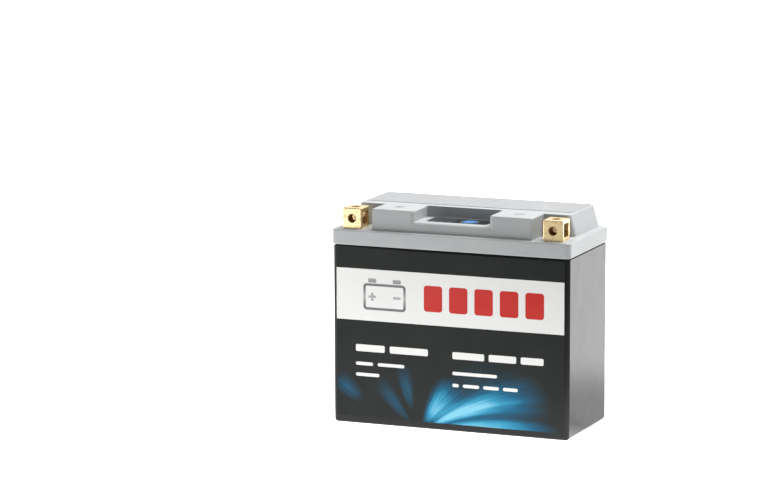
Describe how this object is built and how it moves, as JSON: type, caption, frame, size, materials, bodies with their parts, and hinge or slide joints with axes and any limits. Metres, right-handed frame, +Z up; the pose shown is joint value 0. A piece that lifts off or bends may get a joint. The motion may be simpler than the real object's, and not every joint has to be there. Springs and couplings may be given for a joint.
{
  "type": "motorcycle battery",
  "caption": "Sealed lithium starter battery for a motorcycle: black case, grey lid with corner notches, hollow brass block terminals and a charge indicator with a test button.",
  "frame": {"origin": "centre of the underside", "axes": "+X along the length towards the negative terminal, -Y the labelled front, +Z up"},
  "size_m": [0.15, 0.069, 0.13],
  "materials": {
    "case_black": "moulded, glossy",
    "lid_grey": "moulded, satin",
    "sealant": "dull",
    "front_print": "printed film, satin",
    "top_print": "printed film, satin",
    "film_black": "glossy film",
    "button_blue": "glossy",
    "switch_black": "moulded",
    "steel": "zinc plated",
    "circuit_board": "solder mask",
    "lamp_white": "moulded",
    "clear_plastic": "polished",
    "ribbon_white": "smooth",
    "socket_cream": "moulded",
    "paper_white": "paper",
    "holder_black": "moulded",
    "nickel": "rolled strip",
    "chip_black": "moulded",
    "foam_grey": "closed-cell foam",
    "brass": "machined, satin",
    "dark_brass": "oxidised",
    "copper": "rolled strip",
    "cell_wrap": "shrink sleeve"
  },
  "bodies": {
    "battery": {"case": "case_black", "lid": "lid_grey", "lid_seal": "sealant", "front_label": "front_print", "top_label": "top_print", "indicator_film": "film_black", "switch_body": "switch_black", "snap_dome": "steel", "indicator_board": "circuit_board", "indicator_board_screws": "steel", "indicator_lamps": "lamp_white", "light_guides": "clear_plastic", "indicator_ribbon": "ribbon_white", "ribbon_sockets": "socket_cream", "terminal_seals": "sealant", "terminal_screws": "steel", "cell_rings": "paper_white", "cell_holder_lower": "holder_black", "cell_holder_upper": "holder_black", "holder_tie_rods": "steel", "pack_plate_positive": "nickel", "pack_plate_negative": "nickel", "series_plate_left": "nickel", "series_plate_right": "nickel", "series_plate_top": "nickel", "protection_board": "circuit_board", "protection_board_screws": "steel", "protection_transistors": "chip_black", "protection_chips": "chip_black", "sense_strips": "nickel", "lower_foam_block": "foam_grey", "upper_foam_pad": "foam_grey", "end_foam_pads": "foam_grey", "positive_terminal": "brass", "positive_strap": "copper", "negative_terminal": "brass", "negative_strap": "copper", "cell_1": "cell_wrap", "cell_2": "cell_wrap", "cell_3": "cell_wrap", "cell_4": "cell_wrap", "cell_5": "cell_wrap", "cell_6": "cell_wrap", "cell_7": "cell_wrap", "cell_8": "cell_wrap"},
    "button": {"test_button": "button_blue", "switch_plunger": "switch_black"},
    "positive_nut": {"positive_terminal_nut": "dark_brass"},
    "negative_nut": {"negative_terminal_nut": "dark_brass"}
  },
  "joints": [
    {"name": "button_press", "type": "slide", "parent": "battery", "child": "button", "axis": [0, 0, -1], "range_m": [0, 0.0005], "stiffness_N_per_m": 4000, "springref_m": -0.0001, "deforming": ["snap_dome"]},
    {"name": "positive_nut_slide", "type": "slide", "parent": "battery", "child": "positive_nut", "axis": [-1, 0, 0], "range_m": [-0.008, 0.01]},
    {"name": "negative_nut_slide", "type": "slide", "parent": "battery", "child": "negative_nut", "axis": [1, 0, 0], "range_m": [-0.008, 0.01]}
  ]
}
